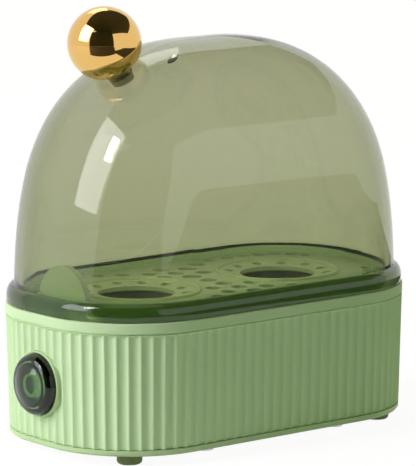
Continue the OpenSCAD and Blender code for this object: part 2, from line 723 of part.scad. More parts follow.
// The loops run up the outside and down the inside
dome_steps = 22;
function level(i, t) = foot_z + (lid_top - t - 0.12 - foot_z) * sin(90 * i / dome_steps);
function flare(i) = let (a = 90 * i / 5)
    [lid_in + (lid_step - lid_in) * (1 - cos(a)), rim_z + 2 + (flare_h - 2) * sin(a)];
lid_loops = concat(
    [flare_loop(lid_in, rim_z)],
    [for (i = [0 : 4]) flare_loop(flare(i)[0], flare(i)[1])],
    [for (i = [0 : dome_steps]) dome_loop(level(i, 0), 0)],
    [for (i = [dome_steps : -1 : 0]) dome_loop(level(i, lid_t), lid_t)],
    [flare_loop(lid_inner, rim_z)]);
loop_n = 4 * (corner_steps + 1);
loops = len(lid_loops);
top_loop = 6 + dome_steps;

module lid_shell() polyhedron(
    points = [for (l = lid_loops, p = l) p],
    faces = concat(
        [for (k = [0 : loops - 1], i = [0 : loop_n - 1]) if (k != top_loop)
            let (k2 = (k + 1) % loops, j = (i + 1) % loop_n)
            each [[k * loop_n + i, k2 * loop_n + i, k2 * loop_n + j],
                  [k * loop_n + i, k2 * loop_n + j, k * loop_n + j]]],
        [[for (i = [loop_n - 1 : -1 : 0]) top_loop * loop_n + i]],
        [[for (i = [0 : loop_n - 1]) (top_loop + 1) * loop_n + i]]),
    convexity = 8);

// The knob stands square to the arch where its foot is
function arch_height(x) = arch_z + (lid_top - arch_z)
    * bow((abs(x) - ridge_x) / (arch_x - ridge_x), arch_power);
knob_x = body_l / 2 - knob_in;
knob_z = arch_height(knob_x);
knob_tilt = atan((arch_height(knob_x - 0.1) - arch_height(knob_x + 0.1)) / 0.2);
module at_knob() translate([-knob_x, 0, knob_z]) rotate([0, -knob_tilt, 0]) children();

knob_hole_r = 2.2;
module lid_dome() color(smoke, 0.5) difference() {
    lid_shell();
    at_knob() translate([0, 0, -8]) cylinder(r = knob_hole_r, h = 16);
    translate([0, crown_y / 2, shoulder_z]) cylinder(r = steam_r, h = lid_top);
}

thread_r = 2;
thread_l = 8;
module lid_knob() color("#d9b45a") at_knob() translate([0, 0, collar_h + ball_r - ball_flat])
    difference() {
        sphere(ball_r, $fn = 96);
        translate([-ball_r, -ball_r, -2 * ball_r - ball_r + ball_flat]) cube(2 * ball_r);
        translate([0, 0, -ball_r]) cylinder(r = thread_r, h = ball_flat + thread_l);
    }

module knob_collar() color("#d9b45a") at_knob() difference() {
    cylinder(r1 = collar_r - 0.4, r2 = collar_r, h = collar_h);
    translate([0, 0, -cut]) cylinder(r = thread_r + 0.1, h = collar_h + 2 * cut);
}

washer_t = 1;
washer_h = -lid_t - 0.5 - washer_t;
module knob_screw() color(steel) at_knob() translate([0, 0, washer_h - 1.8]) {
    cylinder(r = 3.2, h = 1.8);
    cylinder(r = thread_r - push_fit, h = 1.8 - washer_h + collar_h + thread_l - 0.6);
}

module knob_washer() color("#d8d8d0") at_knob() translate([0, 0, washer_h])
    ring(3.6, thread_r + 0.05, washer_t);

housing();
bottom_cover();
feet();
cover_screws();
heating_dish();
dish_seal();
heater_plate();
heater_element();
heater_pins();
heat_shield();
shield_spacers();
shield_screws();
thermostat();
thermostat_screws();
thermal_fuse();
fuse_clip();
power_button();
button_stem();
button_mark();
button_guide();
switch_body();
switch_bracket();
bracket_screws();
pilot_lamp();
terminal_block();
terminal_screws();
lead_live();
lead_switched();
lead_fuse();
lead_neutral();
lead_earth();
cord_bush();
cord_clamp();
clamp_screws();
egg_rack();
lid_dome();
lid_knob();
knob_collar();
knob_screw();
knob_washer();
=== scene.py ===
import math

import bmesh
import bpy
from mathutils import Matrix, Vector


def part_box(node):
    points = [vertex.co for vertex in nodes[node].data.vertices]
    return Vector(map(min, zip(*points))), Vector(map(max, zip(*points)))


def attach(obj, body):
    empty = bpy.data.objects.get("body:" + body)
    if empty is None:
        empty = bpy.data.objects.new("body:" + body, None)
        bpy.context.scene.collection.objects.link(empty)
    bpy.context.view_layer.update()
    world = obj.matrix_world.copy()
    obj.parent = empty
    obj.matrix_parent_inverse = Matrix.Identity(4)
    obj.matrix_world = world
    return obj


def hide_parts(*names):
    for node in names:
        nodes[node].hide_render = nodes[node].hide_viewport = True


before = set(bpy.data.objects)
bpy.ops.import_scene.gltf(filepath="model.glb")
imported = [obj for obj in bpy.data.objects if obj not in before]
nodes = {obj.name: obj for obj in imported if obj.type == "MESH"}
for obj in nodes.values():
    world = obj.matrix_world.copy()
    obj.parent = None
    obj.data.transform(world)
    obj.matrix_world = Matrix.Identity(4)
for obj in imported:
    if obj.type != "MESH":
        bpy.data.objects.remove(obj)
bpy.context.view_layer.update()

mm = 0.001
scene = bpy.context.scene

print("egg cooker: frame loaded,", len(nodes), "CAD nodes")


def extent(name):
    # a CAD node's lowest and highest corners in millimetres
    low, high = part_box(name)
    return Vector(low) / mm, Vector(high) / mm


housingLow, housingHigh = extent("housing")
lidHigh = extent("lid_dome")[1]
buttonLow, buttonHigh = extent("power_button")
guideLow, guideHigh = extent("button_guide")

base = {
    "halfLength": housingHigh.x, "halfWidth": housingHigh.y, "corner": 29.5,
    "bottom": housingLow.z, "rim": housingHigh.z,
    "buttonHeight": (buttonLow.z + buttonHigh.z) / 2,
}

view = {
    "azimuth": -39.06,          # degrees, 0 looks along +Y
    "elevation": 9.48,
    "roll": -0.09,
    "distance": 1033.5,         # mm from the aim
    "aim": (0.44, -0.11, 57.12),
    "focalPixels": 3578.6,      # the lens, in pixels of the picture
    "picture": (416, 466),
    "sensor": 36,
    "clip": (0.05, 30),         # metres
}


def makeCamera(v):
    az, el = math.radians(v["azimuth"]), math.radians(v["elevation"])
    back = Vector((math.sin(az) * math.cos(el), -math.cos(az) * math.cos(el), math.sin(el)))
    right = Vector((math.cos(az), math.sin(az), 0))
    up = back.cross(right)
    roll = math.radians(v["roll"])
    right, up = (right * math.cos(roll) + up * math.sin(roll),
                 up * math.cos(roll) - right * math.sin(roll))
    data = bpy.data.cameras.new("camera")
    data.sensor_width = v["sensor"]
    data.lens = v["focalPixels"] * v["sensor"] / max(v["picture"])
    data.clip_start, data.clip_end = v["clip"]
    cam = bpy.data.objects.new("camera", data)
    spot = Vector(v["aim"]) * mm + back * v["distance"] * mm
    turn = Matrix((right, up, back)).transposed().to_4x4()
    cam.matrix_world = Matrix.Translation(spot) @ turn
    scene.collection.objects.link(cam)
    scene.camera = cam


makeCamera(view)
scene.view_settings.view_transform = "Standard"


def newMaterial(name):
    mat = bpy.data.materials.new(name)
    mat.use_nodes = True
    return mat, mat.node_tree.nodes, mat.node_tree.links


def node(mat, kind, **values):
    n = mat.node_tree.nodes.new(kind)
    for key, value in values.items():
        setattr(n, key, value)
    return n


def objectPoint(mat, stretch=(1, 1, 1)):
    coord = node(mat, "ShaderNodeTexCoord")
    mapping = node(mat, "ShaderNodeMapping")
    mapping.inputs["Scale"].default_value = stretch
    mat.node_tree.links.new(coord.outputs["Object"], mapping.inputs["Vector"])
    return mapping.outputs["Vector"]


def noise(mat, scale, detail=3, stretch=(1, 1, 1)):
    n = node(mat, "ShaderNodeTexNoise")
    n.inputs["Scale"].default_value = scale
    n.inputs["Detail"].default_value = detail
    mat.node_tree.links.new(objectPoint(mat, stretch), n.inputs["Vector"])
    return n.outputs["Fac"]


noiseSpan = (0.3, 0.7)          # where most of a noise's values lie


def spread(mat, source, low, high, start=noiseSpan[0], end=noiseSpan[1]):
    r = node(mat, "ShaderNodeMapRange")
    r.inputs["From Min"].default_value = start
    r.inputs["From Max"].default_value = end
    r.inputs["To Min"].default_value = low
    r.inputs["To Max"].default_value = high
    mat.node_tree.links.new(source, r.inputs["Value"])
    return r.outputs["Result"]


def between(mat, source, *colours):
    ramp = node(mat, "ShaderNodeValToRGB")
    for stop, place, colour in zip(ramp.color_ramp.elements, noiseSpan, colours):
        stop.position = place
        stop.color = (*colour, 1)
    mat.node_tree.links.new(source, ramp.inputs["Fac"])
    return ramp.outputs["Color"]


def bump(mat, source, strength, distance):
    b = node(mat, "ShaderNodeBump")
    b.inputs["Strength"].default_value = strength
    b.inputs["Distance"].default_value = distance
    mat.node_tree.links.new(source, b.inputs["Height"])
    return b.outputs["Normal"]


plainLook = {
    "drift": 0.04, "patch": 60,                         # of the colour: how much, how fine
    "grain": 900, "stretch": (1, 1, 1), "roughSwing": 0.12,
    "bump": 0.05, "bumpDepth": 0.0002, "sockets": {},
}


def makeFinish(name, look):
    # one Principled shader: colour that drifts a little, roughness that drifts, a fine grain
    v = {**plainLook, **look}
    mat, tree, links = newMaterial(name)
    shader = tree["Principled BSDF"]
    low = [c * (1 - v["drift"]) for c in v["colour"]]
    high = [min(1, c * (1 + v["drift"])) for c in v["colour"]]
    patch = noise(mat, v["patch"])
    links.new(between(mat, patch, low, high), shader.inputs["Base Color"])
    grain = noise(mat, v["grain"], 2, v["stretch"])
    smooth, coarse = v["rough"] * (1 - v["roughSwing"]), v["rough"] * (1 + v["roughSwing"])
    links.new(spread(mat, grain, smooth, coarse), shader.inputs["Roughness"])
    links.new(bump(mat, grain, v["bump"], v["bumpDepth"]), shader.inputs["Normal"])
    for socket, value in v["sockets"].items():
        shader.inputs[socket].default_value = value
    return mat


def dress(obj, mat):
    obj.data.materials.clear()
    obj.data.materials.append(mat)


finishes = {
    "housingPlastic": {"colour": (0.62, 0.80, 0.49), "rough": 0.46, "drift": 0.012, "patch": 25,
                       "grain": 1500, "bump": 0.03,
                       "sockets": {"Specular IOR Level": 0.22}},
    "coverPlastic": {"colour": (0.52, 0.68, 0.38), "rough": 0.44, "drift": 0.02,
                     "grain": 1500, "bump": 0.05},
    # the feet's green plastic darkened far below the housing's colour: painted shade under the
    # housing
    "footPlasticPaintedShade": {"colour": (0.15, 0.20, 0.07), "rough": 0.55, "drift": 0.10, "grain": 2600,
                   "bump": 0.12},
    "dishSteel": {"colour": (0.62, 0.62, 0.60), "rough": 0.24, "drift": 0.05,
                  "grain": 700, "stretch": (0.05, 1, 1), "bump": 0.03,
                  "sockets": {"Metallic": 1.0}},
    "sealSilicone": {"colour": (0.72, 0.73, 0.68), "rough": 0.6, "drift": 0.03, "bump": 0.05},
    "castAluminium": {"colour": (0.56, 0.57, 0.58), "rough": 0.46, "drift": 0.08, "grain": 1800,
                      "bump": 0.22, "sockets": {"Metallic": 1.0}},
    "elementSteel": {"colour": (0.30, 0.27, 0.22), "rough": 0.42, "drift": 0.2, "patch": 140,
                     "sockets": {"Metallic": 1.0}},
    "sheetSteel": {"colour": (0.60, 0.62, 0.62), "rough": 0.34, "drift": 0.1, "patch": 220,
                   "sockets": {"Metallic": 1.0}},
    "screwSteel": {"colour": (0.55, 0.56, 0.56), "rough": 0.3, "drift": 0.08,
                   "sockets": {"Metallic": 1.0}},
    "zincSteel": {"colour": (0.80, 0.80, 0.74), "rough": 0.6, "drift": 0.05,
                  "sockets": {"Metallic": 0.3}},
    "phenolic": {"colour": (0.035, 0.03, 0.027), "rough": 0.4, "drift": 0.15, "bump": 0.1},
    "fuseCeramic": {"colour": (0.74, 0.70, 0.58), "rough": 0.55, "drift": 0.05, "bump": 0.08},
    "switchNylon": {"colour": (0.03, 0.033, 0.04), "rough": 0.45, "drift": 0.12, "bump": 0.1},
    "blockNylon": {"colour": (0.74, 0.72, 0.64), "rough": 0.46, "drift": 0.03, "bump": 0.06},
    "lampLens": {"colour": (0.80, 0.84, 0.70), "rough": 0.25, "drift": 0.03,
                 "sockets": {"Transmission Weight": 0.6}},
    "brownLead": {"colour": (0.16, 0.07, 0.03), "rough": 0.42, "drift": 0.08},
    "blackLead": {"colour": (0.02, 0.02, 0.023), "rough": 0.42, "drift": 0.08},
    "glassLead": {"colour": (0.66, 0.62, 0.50), "rough": 0.7, "drift": 0.1, "grain": 3000,
                  "bump": 0.5},
    "blueLead": {"colour": (0.03, 0.10, 0.30), "rough": 0.42, "drift": 0.08},
    "earthLead": {"colour": (0.16, 0.36, 0.05), "rough": 0.42, "drift": 0.3, "patch": 300},
    "bushRubber": {"colour": (0.08, 0.10, 0.06), "rough": 0.6, "drift": 0.08, "grain": 2200,
                   "bump": 0.12},
    "rackPlastic": {"colour": (0.74, 0.93, 0.57), "rough": 0.30, "drift": 0.02, "grain": 1500,
                    "bump": 0.03},
    "stemPlastic": {"colour": (0.02, 0.026, 0.017), "rough": 0.3, "drift": 0.08},
    # painted light: the mark's paint glows, though it is no lamp
    "markPaintedGlow": {"colour": (0.50, 0.66, 0.40), "rough": 0.3, "drift": 0.04,
                  "sockets": {"Emission Color": (0.50, 0.66, 0.40, 1), "Emission Strength": 1.0}},
    "clearSilicone": {"colour": (0.86, 0.87, 0.82), "rough": 0.2, "drift": 0.02,
                      "sockets": {"Transmission Weight": 0.9, "IOR": 1.41}},
}
finish = {name: makeFinish(name, look) for name, look in finishes.items()}

nodeFinish = {
    "bottom_cover": "coverPlastic", "feet": "footPlasticPaintedShade",
    "cover_screws": "screwSteel", "heating_dish": "dishSteel", "dish_seal": "sealSilicone",
    "heater_plate": "castAluminium", "heater_element": "elementSteel",
    "heater_pins": "screwSteel", "heat_shield": "sheetSteel", "shield_spacers": "screwSteel",
    "shield_screws": "screwSteel", "thermostat": "phenolic", "thermostat_screws": "screwSteel",
    "thermal_fuse": "fuseCeramic", "fuse_clip": "screwSteel",
    "switch_body": "switchNylon", "switch_bracket": "sheetSteel", "bracket_screws": "screwSteel",
    "pilot_lamp": "lampLens", "terminal_block": "blockNylon", "terminal_screws": "screwSteel",
    "lead_live": "brownLead", "lead_switched": "blackLead", "lead_fuse": "glassLead",
    "lead_neutral": "blueLead", "lead_earth": "earthLead", "cord_bush": "bushRubber",
    "cord_clamp": "housingPlastic", "clamp_screws": "screwSteel", "egg_rack": "rackPlastic",
    "button_stem": "stemPlastic", "button_mark": "markPaintedGlow", "knob_screw": "zincSteel",
    "knob_washer": "clearSilicone",
}
for name, look in nodeFinish.items():
    dress(nodes[name], finish[look])

print("egg cooker: finishes on", len(nodeFinish), "CAD nodes")


acrylic = {
    "ior": 1.49, "cloud": 14, "cloudTint": 0.985,       # faint clouds in the colour
    "smear": 30, "smearSwing": 0.3,                     # where the surface is duller
    "waveScale": 16, "waveDepth": 0.002,
}


def clearPlastic(name, look):
    # clear moulded acrylic; where its inside is tinted too, a longer way through is darker. Below
    # given heights its colour is also darkened: painted shade
    v = {**acrylic, **look}
    mat, tree, links = newMaterial(name)
    shader = tree["Principled BSDF"]
    cloudy = [c * v["cloudTint"] for c in v["tint"]]
    colour = between(mat, noise(mat, v["cloud"], 2), cloudy, v["tint"])
    for paintedShadeTint, start, end in v.get("foot", []):
        # painted shade: the colour is darkened below a height
        split = node(mat, "ShaderNodeSeparateXYZ")
        links.new(objectPoint(mat), split.inputs["Vector"])
        mix = node(mat, "ShaderNodeMix", data_type="RGBA")
        links.new(spread(mat, split.outputs["Z"], 0, 1, start * mm, end * mm), mix.inputs[0])
        mix.inputs[6].default_value = (*paintedShadeTint, 1)
        links.new(colour, mix.inputs[7])
        colour = mix.outputs[2]
    links.new(colour, shader.inputs["Base Color"])
    shader.inputs["Transmission Weight"].default_value = 1
    shader.inputs["IOR"].default_value = v["ior"]
    clean, dull = v["rough"] * (1 - v["smearSwing"]), v["rough"] * (1 + v["smearSwing"])
    links.new(spread(mat, noise(mat, v["smear"]), clean, dull), shader.inputs["Roughness"])
    links.new(bump(mat, noise(mat, v["waveScale"], 1), v["wave"], v["waveDepth"]),
              shader.inputs["Normal"])
    if "density" in v:
        inside = node(mat, "ShaderNodeVolumeAbsorption")
        inside.inputs["Color"].default_value = (*v["inside"], 1)
        inside.inputs["Density"].default_value = v["density"]
        links.new(inside.outputs["Volume"], tree["Material Output"].inputs["Volume"])
    return mat


def finishMesh(name, bm, mat, body, replaced, sharp=40):
    mesh = bpy.data.meshes.new(name)
    bmesh.ops.recalc_face_normals(bm, faces=bm.faces[:])
    bm.to_mesh(mesh)
    bm.free()
    mesh.shade_smooth()
    mesh.set_sharp_from_angle(angle=math.radians(sharp))
    obj = bpy.data.objects.new(name, mesh)
    scene.collection.objects.link(obj)
    dress(obj, mat)
    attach(obj, body)
    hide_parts(*replaced)
    return obj


tiny = 1e-6


def turned(profile, steps, place):
    # a closed profile of (radius, height) turned about the axis, then put in its place
    bm = bmesh.new()
    rings = []
    for r, h in profile:
        if r < tiny:
            rings.append([bm.verts.new((0, 0, h * mm))])
        else:
            rings.append([bm.verts.new((r * mm * math.cos(2 * math.pi * i / steps),
                                        r * mm * math.sin(2 * math.pi * i / steps), h * mm))
                          for i in range(steps)])
    for k, a in enumerate(rings):
        b = rings[(k + 1) % len(rings)]
        if len(a) == 1 and len(b) == 1:
            continue
        for i in range(steps):
            j = (i + 1) % steps
            if len(a) == 1:
                bm.faces.new((a[0], b[j], b[i]))
            elif len(b) == 1:
                bm.faces.new((a[i], a[j], b[0]))
            else:
                bm.faces.new((a[i], a[j], b[j], b[i]))
    bm.transform(place)
    return bm


def softened(points, radii, steps=4):
    # rounds the corners of a closed (r, h) outline, given one radius for each point
    out = []
    n = len(points)
    for i, p in enumerate(points):
        p = Vector(p)
        if radii[i] == 0:
            out.append(tuple(p))
            continue
        a, b = Vector(points[i - 1]) - p, Vector(points[(i + 1) % n]) - p
        most = 0.49 * min(a.length, b.length)
        reach = min(radii[i] / math.tan(a.angle(b) / 2), most)
        start, end = p + a.normalized() * reach, p + b.normalized() * reach
        for k in range(steps + 1):
            t = k / steps
            out.append(tuple(start * (1 - t) ** 2 + p * 2 * t * (1 - t) + end * t ** 2))
    return out


def skinned(loops, closed):
    # skins point loops that all have the same count into one surface
    bm = bmesh.new()
    rows = [[bm.verts.new(p) for p in loop] for loop in loops]
    count = len(rows[0])
    for k in range(len(rows) if closed else len(rows) - 1):
        a, b = rows[k], rows[(k + 1) % len(rows)]
        for i in range(count):
            j = (i + 1) % count
            bm.faces.new((a[i], a[j], b[j], b[i]))
    return bm, rows


def drill(obj, radius, start, end, sides=96):
    # cuts a round hole between two points given in millimetres
    start, end = Vector(start) * mm, Vector(end) * mm
    axis = end - start
    bm = bmesh.new()
    turn = axis.to_track_quat("Z", "Y").to_matrix().to_4x4()
    place = Matrix.Translation((start + end) / 2) @ turn
    bmesh.ops.create_cone(bm, cap_ends=True, segments=sides, radius1=radius * mm,
                          radius2=radius * mm, depth=axis.length, matrix=place)
    mesh = bpy.data.meshes.new("drill")
    bm.to_mesh(mesh)
    bm.free()
    tool = bpy.data.objects.new("drill", mesh)
    scene.collection.objects.link(tool)
    cutter = obj.modifiers.new("drill", "BOOLEAN")
    cutter.operation = "DIFFERENCE"
    cutter.solver = "EXACT"
    cutter.object = tool
    graph = bpy.context.evaluated_depsgraph_get()
    cut = bpy.data.meshes.new_from_object(obj.evaluated_get(graph))
    obj.modifiers.clear()
    obj.data = cut
    bpy.data.objects.remove(tool)


housingLook = {
    "flutes": 24, "fluteDepth": 0.7, "land": 0.35,      # flutes in a quarter of the outline
    "samples": 12, "band": 3.0, "groove": 0.4, "grooveDepth": 0.4,
    "draft": 0.9,                                       # how far the wall draws in at its foot
    "footEdge": [(0, 0.35), (0.15, 0.1), (0.5, 0)],     # (up, in) around the bottom edge
    "wallRows": 5, "roundRows": 6,
    "runOut": 0.9,                                      # where the flutes end, under the groove
    "grooveSlope": 0.05, "bandRise": 0.15, "bandIn": 0.12, "bandSkin": 0.02,
    "edge": 0.45, "wall": 2.6, "deckWidth": 10.0, "deck": 2.2, "deckSoft": 0.2,
    "recess": 1.0, "recessIn": 4.9, "recessSoft": 0.15,
    "bushHeight": 13.0, "bushHole": 5.05, "sleeveFit": 0.05,
    "drillOut": 2, "drillIn": 6,                        # how far the drills reach from the face
    "sharp": 50,                                        # degrees
}


def quarterColumns(v):
    # (x, y, outward angle, share of the flute's depth) along the +X, +Y quarter
    sideY = base["halfWidth"] - base["corner"]
    sideX = base["halfLength"] - base["corner"]
    length = sideY + base["corner"] * math.pi / 2 + sideX
    pitch = length / v["flutes"]
    half = (pitch - v["land"]) / 2
    radius = (half ** 2 + v["fluteDepth"] ** 2) / (2 * v["fluteDepth"])
    columns = []
    for i in range(v["flutes"] * v["samples"] + 1):
        s = length * i / (v["flutes"] * v["samples"])
        across = (i % v["samples"]) / v["samples"] * pitch - pitch / 2
        depth = 0
        if abs(across) < half:
            depth = math.sqrt(radius ** 2 - across ** 2) - radius + v["fluteDepth"]
        if s < sideY:
            point = (base["halfLength"], s, 0)
        elif s < length - sideX:
            a = (s - sideY) / base["corner"]
            point = (sideX + base["corner"] * math.cos(a),
                     sideY + base["corner"] * math.sin(a), a)
        else:
            point = (length - s, base["halfWidth"], math.pi / 2)
        columns.append((*point, depth))
    return columns


def housingColumns(v):
    quarter = quarterColumns(v)
    columns = []
    for sx, sy in ((1, 1), (-1, 1), (-1, -1), (1, -1)):
        part = [(sx * x, sy * y, sx * math.cos(a), sy * math.sin(a), d) for x, y, a, d in quarter]
        columns += part[:-1] if sx * sy > 0 else part[:0:-1]
    return columns


def makeHousing(v):
    low, rim = base["bottom"], base["rim"]
    top = rim - v["band"] - v["groove"]
    columns = housingColumns(v)

    def drawn(z):
        return v["draft"] * (rim - z) / (rim - low)

    # (height, how far in, share of the flutes' depth), up the outside and down the inside
    rows = [(low + up, drawn(low) + inward, 1) for up, inward in v["footEdge"]]
    start = rows[-1][0]
    runOut = top - v["runOut"]
    for i in range(1, v["wallRows"] + 1):
        z = start + (runOut - start) * i / v["wallRows"]
        rows.append((z, drawn(z), 1))
    for i in range(1, v["roundRows"] + 1):
        a = math.pi / 2 * i / v["roundRows"]
        rows.append((runOut + v["runOut"] * math.sin(a), drawn(top), math.cos(a)))
    groove = drawn(top) + v["grooveDepth"]
    band = top + v["groove"]
    rows += [(top + v["grooveSlope"], groove, 0), (band - v["grooveSlope"], groove, 0),
             (band, drawn(top) + v["bandIn"], 0), (band + v["bandRise"], v["bandSkin"], 0)]
    for i in range(v["roundRows"] + 1):
        a = math.pi / 2 * i / v["roundRows"]
        rows.append((rim - v["edge"] * (1 - math.sin(a)), v["edge"] * (1 - math.cos(a)), 0))
    floor, deck = rim - v["recess"], rim - v["deck"]
    rows += [(rim, v["recessIn"] - v["recessSoft"], 0), (rim - v["recessSoft"], v["recessIn"], 0),
             (floor, v["recessIn"], 0), (floor, v["deckWidth"] - v["deckSoft"], 0),
             (floor - v["deckSoft"], v["deckWidth"], 0), (deck, v["deckWidth"], 0),
             (deck, v["wall"], 0), (low, v["wall"], 0)]
    loops = []
    for z, inset, flute in rows:
        loops.append([((x - nx * (inset + flute * d)) * mm, (y - ny * (inset + flute * d)) * mm,
                       z * mm) for x, y, nx, ny, d in columns])
    housing = finishMesh("fluted_housing", skinned(loops, True)[0], finish["housingPlastic"],
                         "base", ["housing"], v["sharp"])
    height = base["buttonHeight"]
    outer, inner = base["halfLength"] + v["drillOut"], base["halfLength"] - v["drillIn"]
    drill(housing, buttonLook["sleeve"] + v["sleeveFit"], (-outer, 0, height),
          (-inner, 0, height))
    drill(housing, v["bushHole"], (inner, 0, v["bushHeight"]), (outer, 0, v["bushHeight"]))
    print("egg cooker: housing made,", len(housing.data.polygons), "faces")


lidLook = {
    "foot": base["rim"], "top": lidHigh.z,
    "wall": 2.0, "edge": 0.3,
    "step": 2.4, "flare": 5.2, "upright": 2,            # the foot: how wide, how high, its face
    "footEdge": [(0, 0.5), (0.15, 0.15), (0.5, 0)],     # (up, in) around the foot's lower edge
    "innerEdge": 0.4, "crownGap": 0.02,                 # the last ring lies this far under the top
    "ridge": 1.2, "archLow": base["rim"] - 5.5, "archPower": 2.6,      # seen from the side
    "shoulder": 75.5, "crownPower": 2.0,                # seen from the end
    "rings": 70, "flareRows": 12, "cornerSteps": 40, "sideSteps": 10,
    "steamHole": 1.5, "steamReach": 5, "screwHole": 2.2, "screwReach": 8,
    "sharp": 60,                                        # degrees
    "glass": {"tint": (0.97, 0.945, 0.88), "rough": 0.012, "wave": 0.03,
              "inside": (0.275, 0.33, 0.045), "density": 250.0,
              # painted shade: the lid's colour darkens towards its foot over the dome, and most at
              # the flange
              "foot": [((0.83, 0.845, 0.71), base["rim"] + 5, base["rim"] + 62),
                       ((0.50, 0.67, 0.40), base["rim"] + 4, base["rim"] + 6.5)]},
}


def bow(u, power):
    # a quarter of a superellipse: 1 at u = 0, falling to 0 at u = 1
    return max(0.0, 1 - u ** power) ** (1 / power)


def roundedLoop(a, b, r, z, cornerSteps, sideSteps):
    # points around a rounded rectangle of half sizes a and b, in metres
    pts = []
    for q, (sx, sy) in enumerate(((1, 1), (-1, 1), (-1, -1), (1, -1))):
        for i in range(cornerSteps + 1):
            ang = math.radians(90 * (q + i / cornerSteps))
            pts.append((sx * (a - r) + r * math.cos(ang), sy * (b - r) + r * math.sin(ang)))
    full = []
    n = len(pts)
    for i, p in enumerate(pts):
        full.append(p)
        if (i + 1) % (cornerSteps + 1) == 0:
            nxt = pts[(i + 1) % n]
            for k in range(1, sideSteps):
                t = k / sideSteps
                full.append((p[0] * (1 - t) + nxt[0] * t, p[1] * (1 - t) + nxt[1] * t))
    return [(x * mm, y * mm, z * mm) for x, y in full]


def lidLoops(v):
    # up the outer skin from its foot to the crown, then down the inner one
    halfL, halfW, r0 = base["halfLength"], base["halfWidth"], base["corner"]
    archX, crownY = halfL - v["step"], halfW - v["step"]
    footZ = v["foot"] + v["flare"]

    def domeLoop(z, t):
        a = v["ridge"] + (archX - t - v["ridge"]) * bow(
            max(0, z - v["archLow"]) / (v["top"] - t - v["archLow"]), v["archPower"])
        b = (crownY - t) * bow(
            max(0, z - v["shoulder"]) / (v["top"] - t - v["shoulder"]), v["crownPower"])
        r = min(a, b) * (r0 - v["step"]) / crownY
        return roundedLoop(a, b, r, z, v["cornerSteps"], v["sideSteps"])

    def footLoop(inset, z):
        return roundedLoop(halfL - inset, halfW - inset, r0 - inset, z,
                           v["cornerSteps"], v["sideSteps"])

    def level(i, t):
        rise = v["top"] - t - v["crownGap"] - footZ
        return footZ + rise * math.sin(math.pi / 2 * i / v["rings"])

    loops = [footLoop(v["edge"] + inward, v["foot"] + up) for up, inward in v["footEdge"]]
    for i in range(v["flareRows"] + 1):
        ang = math.pi / 2 * i / v["flareRows"]
        inset = v["edge"] + (v["step"] - v["edge"]) * (1 - math.cos(ang))
        rise = v["upright"] + (v["flare"] - v["upright"]) * math.sin(ang)
        loops.append(footLoop(inset, v["foot"] + rise))
    loops += [domeLoop(level(i, 0), 0) for i in range(1, v["rings"] + 1)]
    topLoop = len(loops) - 1
    loops += [domeLoop(level(i, v["wall"]), v["wall"]) for i in range(v["rings"], -1, -1)]
    inner = v["step"] + v["wall"]
    loops += [footLoop(inner, v["foot"] + v["innerEdge"]),
              footLoop(inner - v["innerEdge"], v["foot"])]
    return loops, topLoop


def makeLid(v):
    loops, topLoop = lidLoops(v)
    bm, rows = skinned(loops[:topLoop + 1], False)
    inner, innerRows = skinned(loops[topLoop + 1:], False)
    # each skin is capped at the crown, and the two are joined under the foot
    bm.faces.new(rows[-1])
    inner.faces.new(innerRows[0])
    mesh = bpy.data.meshes.new("inner")
    inner.to_mesh(mesh)
    inner.free()
    count = len(bm.verts)
    bm.from_mesh(mesh)
    bpy.data.meshes.remove(mesh)
    bm.verts.ensure_lookup_table()
    width = len(rows[0])
    last = count + (len(innerRows) - 1) * width
    for i in range(width):
        j = (i + 1) % width
        bm.faces.new((bm.verts[i], bm.verts[j], bm.verts[last + j], bm.verts[last + i]))
    lid = finishMesh("lid", bm, clearPlastic("smokedAcrylic", v["glass"]), "lid",
                     ["lid_dome"], v["sharp"])
    behind = (base["halfWidth"] - v["step"]) / 2
    drill(lid, v["steamHole"], (0, behind, v["shoulder"]),
          (0, behind, v["top"] + v["steamReach"]))
    reach = Vector((0, 0, v["screwReach"] * mm))
    drill(lid, v["screwHole"], knobPlace() @ -reach / mm, knobPlace() @ reach / mm)
    print("egg cooker: lid made,", len(lid.data.polygons), "faces")


knobLook = {
    "radius": 10.5, "flat": 3.0, "ballRows": 64, "ballSides": 160,
    "edgeIn": 0.25, "edgeUp": 0.12,                     # the ball's lower edge
    "collarHeight": 0.8, "collarRadius": 5.4, "collarBore": 2.2, "collarSlope": 0.4,
    "collarSoft": [0, 0.2, 0.25, 0], "collarSides": 96,
    "footIn": 28.6,                                     # from the button's end
    "gold": (0.77, 0.50, 0.17), "warmth": (1.04, 0.98, 0.92),
    "patch": 60, "rough": 0.05, "smear": 240, "grain": 120, "bump": 0.02,
}


def archHeight(x, v):
    return v["archLow"] + (v["top"] - v["archLow"]) * bow(
        (abs(x) - v["ridge"]) / (base["halfLength"] - v["step"] - v["ridge"]), v["archPower"])


def knobPlace():
    # square to the lid's arch at the ball's foot
    x = base["halfLength"] - knobLook["footIn"]
    reach = 0.1
    fall = archHeight(x - reach, lidLook) - archHeight(x + reach, lidLook)
    slope = fall / (2 * reach)
    spot = Vector((-x, 0, archHeight(x, lidLook))) * mm
    return Matrix.Translation(spot) @ Matrix.Rotation(-math.atan(slope), 4, "Y")


def goldPlate(v):
    mat, tree, links = newMaterial("goldPlate")
    shader = tree["Principled BSDF"]
    warm = [c * share for c, share in zip(v["gold"], v["warmth"])]
    links.new(between(mat, noise(mat, v["patch"]), v["gold"], warm), shader.inputs["Base Color"])
    shader.inputs["Metallic"].default_value = 1
    links.new(spread(mat, noise(mat, v["smear"], 4), v["rough"] * 0.7, v["rough"] * 1.5),
              shader.inputs["Roughness"])
    links.new(bump(mat, noise(mat, v["grain"], 2), v["bump"], plainLook["bumpDepth"]),
              shader.inputs["Normal"])
    return mat


